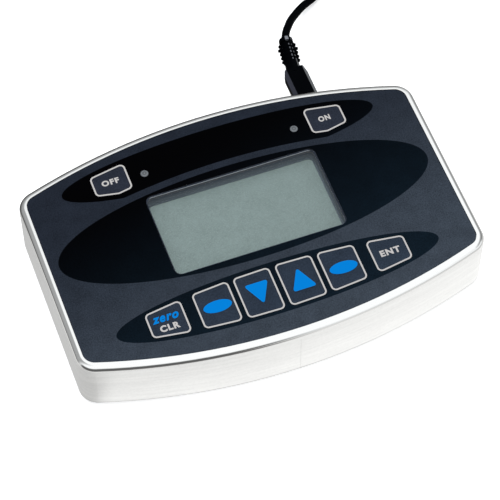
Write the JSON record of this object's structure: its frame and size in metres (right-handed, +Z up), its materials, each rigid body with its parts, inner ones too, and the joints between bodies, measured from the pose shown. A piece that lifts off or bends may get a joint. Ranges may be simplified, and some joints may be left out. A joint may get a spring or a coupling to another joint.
{
  "type": "torque data analyzer",
  "caption": "Shallow silver metal case with bowed long sides, a membrane keypad front with a display window, and a lead plugged into its back.",
  "frame": {"origin": "middle of the case's footprint, on the surface that the rubber feet stand on", "axes": "+X to the right of the front, +Y to the back edge with the sockets, +Z up out of the front"},
  "size_m": [0.1843, 0.2329, 0.0281],
  "materials": {
    "case_metal": "satin with a polished rim",
    "steel": "plain",
    "brass": "plated",
    "film": "fine matt",
    "black_print": "fine matt",
    "key_film": "fine matt",
    "window_pane": "clear",
    "display_face": "satin",
    "dark_plastic": "moulded",
    "light_plastic": "moulded",
    "lamp_lens": "diffused",
    "circuit_board": "coated",
    "flex_circuit": "smooth",
    "gasket": "matt",
    "foot_rubber": "matt",
    "battery_wrap": "shrunk",
    "lead_jacket": "matt"
  },
  "bodies": {
    "case": {"housing": "case_metal", "bottom_cover": "case_metal", "cover_screws": "steel", "rubber_feet": "foot_rubber", "overlay_film": "film", "black_fields": "black_print", "display_window": "window_pane", "keypad_spacer": "dark_plastic", "keypad_circuit": "flex_circuit", "left_lamp": "lamp_lens", "right_lamp": "lamp_lens", "display_gasket": "gasket", "display_frame": "dark_plastic", "display_glass": "display_face", "display_backlight": "light_plastic", "display_board": "circuit_board", "board_spacers": "steel", "board_screws": "steel", "main_board": "circuit_board", "main_processor": "dark_plastic", "keypad_connector": "light_plastic", "battery_pack": "battery_wrap", "battery_leads": "lead_jacket", "battery_connector": "light_plastic", "port_board": "circuit_board", "board_link": "dark_plastic", "data_port": "steel", "socket_shell": "steel", "socket_insert": "dark_plastic", "socket_contacts": "brass", "socket_nut": "steel", "lead_plug": "lead_jacket", "plug_shell": "steel", "lead_cord": "lead_jacket", "lead_coil": "lead_jacket", "coil_tie": "dark_plastic", "far_plug": "lead_jacket", "far_plug_shell": "steel", "off_dome": "steel", "on_dome": "steel", "clear_dome": "steel", "left_oval_dome": "steel", "down_dome": "steel", "up_dome": "steel", "right_oval_dome": "steel", "enter_dome": "steel"},
    "off_key": {"off_key": "key_film"},
    "on_key": {"on_key": "key_film"},
    "clear_key": {"clear_key": "key_film"},
    "left_oval_key": {"left_oval_key": "key_film"},
    "down_key": {"down_key": "key_film"},
    "up_key": {"up_key": "key_film"},
    "right_oval_key": {"right_oval_key": "key_film"},
    "enter_key": {"enter_key": "key_film"}
  },
  "joints": [
    {"name": "off_key_press", "type": "slide", "parent": "case", "child": "off_key", "axis": [0, 0, -1], "range_m": [0, 0.0004], "stiffness_N_per_m": 5000, "deforming": ["off_dome"]},
    {"name": "on_key_press", "type": "slide", "parent": "case", "child": "on_key", "axis": [0, 0, -1], "range_m": [0, 0.0004], "stiffness_N_per_m": 5000, "deforming": ["on_dome"]},
    {"name": "clear_key_press", "type": "slide", "parent": "case", "child": "clear_key", "axis": [0, 0, -1], "range_m": [0, 0.0004], "stiffness_N_per_m": 5000, "deforming": ["clear_dome"]},
    {"name": "left_oval_key_press", "type": "slide", "parent": "case", "child": "left_oval_key", "axis": [0, 0, -1], "range_m": [0, 0.0004], "stiffness_N_per_m": 5000, "deforming": ["left_oval_dome"]},
    {"name": "down_key_press", "type": "slide", "parent": "case", "child": "down_key", "axis": [0, 0, -1], "range_m": [0, 0.0004], "stiffness_N_per_m": 5000, "deforming": ["down_dome"]},
    {"name": "up_key_press", "type": "slide", "parent": "case", "child": "up_key", "axis": [0, 0, -1], "range_m": [0, 0.0004], "stiffness_N_per_m": 5000, "deforming": ["up_dome"]},
    {"name": "right_oval_key_press", "type": "slide", "parent": "case", "child": "right_oval_key", "axis": [0, 0, -1], "range_m": [0, 0.0004], "stiffness_N_per_m": 5000, "deforming": ["right_oval_dome"]},
    {"name": "enter_key_press", "type": "slide", "parent": "case", "child": "enter_key", "axis": [0, 0, -1], "range_m": [0, 0.0004], "stiffness_N_per_m": 5000, "deforming": ["enter_dome"]}
  ]
}
